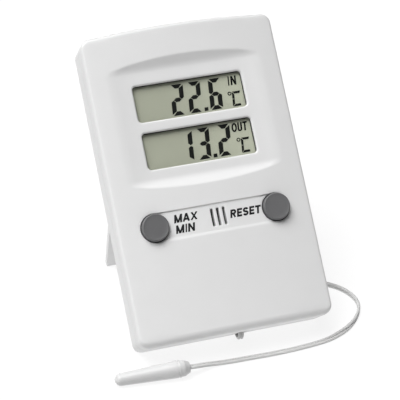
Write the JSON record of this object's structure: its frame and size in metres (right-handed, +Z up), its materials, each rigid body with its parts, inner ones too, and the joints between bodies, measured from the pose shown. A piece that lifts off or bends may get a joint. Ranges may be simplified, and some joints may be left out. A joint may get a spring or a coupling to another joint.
{
  "type": "indoor and outdoor maximum minimum thermometer",
  "caption": "Digital maximum and minimum thermometer for indoors and outdoors, leaning on a fold-out stand, with an outdoor probe on a flat cable.",
  "frame": {"origin": "on the table, under the middle of the leaning case and its open stand", "axes": "+Z up, +X to the right of a person who reads the display, +Y away from them, towards the back"},
  "size_m": [0.0929, 0.1163, 0.0887],
  "materials": {
    "white_plastic": "satin white moulded ABS",
    "stand_plastic": "satin off-white moulded ABS",
    "clear_lens": "clear polished acrylic sheet",
    "display": "grey-green liquid-crystal glass with a satin polariser",
    "display_ink": "black liquid-crystal segments",
    "key_plastic": "satin dark grey moulded plastic",
    "contact_rubber": "matt conductive rubber",
    "board": "green solder mask on glass epoxy",
    "black_resin": "black potting resin",
    "plated_metal": "nickel-plated steel",
    "cell_wrap": "printed film over a steel can",
    "wire_coat": "PVC insulation",
    "cable_coat": "satin white PVC",
    "tie_plastic": "white nylon band"
  },
  "bodies": {
    "case": {"front_cover": "white_plastic", "rear_cover": "white_plastic", "display_lens": "clear_lens", "lcd_glass": "display", "indoor_reading": "display_ink", "outdoor_reading": "display_ink", "lcd_frame": "stand_plastic", "contact_strips": "contact_rubber", "circuit_board": "board", "chip_cap": "black_resin", "timing_crystal": "plated_metal", "indoor_sensor": "black_resin", "key_pads": "contact_rubber", "board_screws": "plated_metal", "case_screws": "plated_metal", "battery_cell": "cell_wrap", "battery_spring": "plated_metal", "battery_plate": "plated_metal", "battery_leads": "wire_coat", "cable_gland": "cable_coat", "inner_cable": "cable_coat", "cable_from_case": "cable_coat", "cable_coil": "cable_coat", "coil_tie": "tie_plastic", "cable_to_probe": "cable_coat", "probe_tube": "cable_coat", "probe_plug": "cable_coat", "probe_bead": "black_resin"},
    "stand": {"stand_flap": "stand_plastic"},
    "door": {"battery_door": "white_plastic"},
    "left_key": {"max_min_key": "key_plastic"},
    "right_key": {"reset_key": "key_plastic"}
  },
  "joints": [
    {"name": "stand_hinge", "type": "hinge", "parent": "case", "child": "stand", "pos_m": [0, 0.00594, 0.03863], "axis": [1, 0, 0], "range_deg": [-63, 0]},
    {"name": "door_slide", "type": "slide", "parent": "case", "child": "door", "axis": [0, 0.7071, -0.7071], "range_m": [0, 0.009]},
    {"name": "max_min_press", "type": "slide", "parent": "case", "child": "left_key", "axis": [0, 0.7071, -0.7071], "range_m": [0, 0.0008], "stiffness_N_per_m": 800},
    {"name": "reset_press", "type": "slide", "parent": "case", "child": "right_key", "axis": [0, 0.7071, -0.7071], "range_m": [0, 0.0008], "stiffness_N_per_m": 800}
  ]
}
